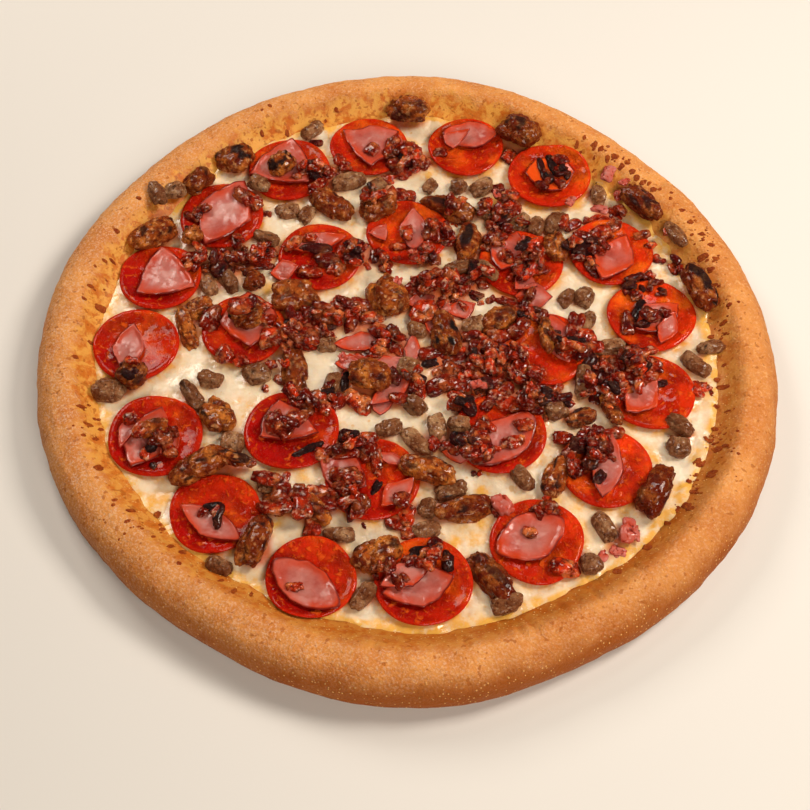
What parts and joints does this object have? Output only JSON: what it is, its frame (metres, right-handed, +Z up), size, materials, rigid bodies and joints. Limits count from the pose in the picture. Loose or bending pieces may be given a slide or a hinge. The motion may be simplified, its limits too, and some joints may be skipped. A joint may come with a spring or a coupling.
{
  "type": "meat pizza",
  "caption": "Whole round meat pizza with a puffed crust, melted cheese, pepperoni slices, ham, sausage lumps, ground beef and bacon crumbs; lies flat on its base.",
  "frame": {"origin": "middle of the underside, on the surface that the pizza lies on", "axes": "+Z up, through the thickness; +Y towards the side shown at the back; +X to the right"},
  "size_m": [0.3503, 0.359, 0.0307],
  "materials": {
    "crust": "baked golden-tan dough with a fine wrinkled skin, browned specks on its inner slope",
    "cheese": "melted creamy cheese, moist, with tan spots and patches of orange oil",
    "pepperoni": "oily deep red cured sausage with flecks of fat",
    "ham": "moist pale pink ham with browned edges",
    "sausage": "browned orange-brown crumbled sausage with oily highlights",
    "beef": "grey-brown grainy ground beef",
    "bacon": "dark red glossy crisp bacon crumbs, some charred, some pink"
  },
  "bodies": {
    "root": {"crust": "crust", "cheese": "cheese", "pepperoni_01": "pepperoni", "pepperoni_02": "pepperoni", "pepperoni_03": "pepperoni", "pepperoni_04": "pepperoni", "pepperoni_05": "pepperoni", "pepperoni_06": "pepperoni", "pepperoni_07": "pepperoni", "pepperoni_08": "pepperoni", "pepperoni_09": "pepperoni", "pepperoni_10": "pepperoni", "pepperoni_11": "pepperoni", "pepperoni_12": "pepperoni", "pepperoni_13": "pepperoni", "pepperoni_14": "pepperoni", "pepperoni_15": "pepperoni", "pepperoni_16": "pepperoni", "pepperoni_17": "pepperoni", "pepperoni_18": "pepperoni", "pepperoni_19": "pepperoni", "pepperoni_20": "pepperoni", "pepperoni_21": "pepperoni", "pepperoni_22": "pepperoni", "pepperoni_23": "pepperoni", "pepperoni_24": "pepperoni", "ham_01": "ham", "ham_02": "ham", "ham_03": "ham", "ham_04": "ham", "ham_05": "ham", "ham_06": "ham", "ham_07": "ham", "ham_08": "ham", "ham_09": "ham", "ham_10": "ham", "ham_11": "ham", "ham_12": "ham", "ham_13": "ham", "ham_14": "ham", "ham_15": "ham", "ham_16": "ham", "ham_17": "ham", "ham_18": "ham", "ham_19": "ham", "ham_20": "ham", "ham_21": "ham", "ham_22": "ham", "ham_23": "ham", "ham_24": "ham", "ham_25": "ham", "sausage_01": "sausage", "sausage_02": "sausage", "sausage_03": "sausage", "sausage_04": "sausage", "sausage_05": "sausage", "sausage_06": "sausage", "sausage_07": "sausage", "sausage_08": "sausage", "sausage_09": "sausage"}
  },
  "joints": []
}
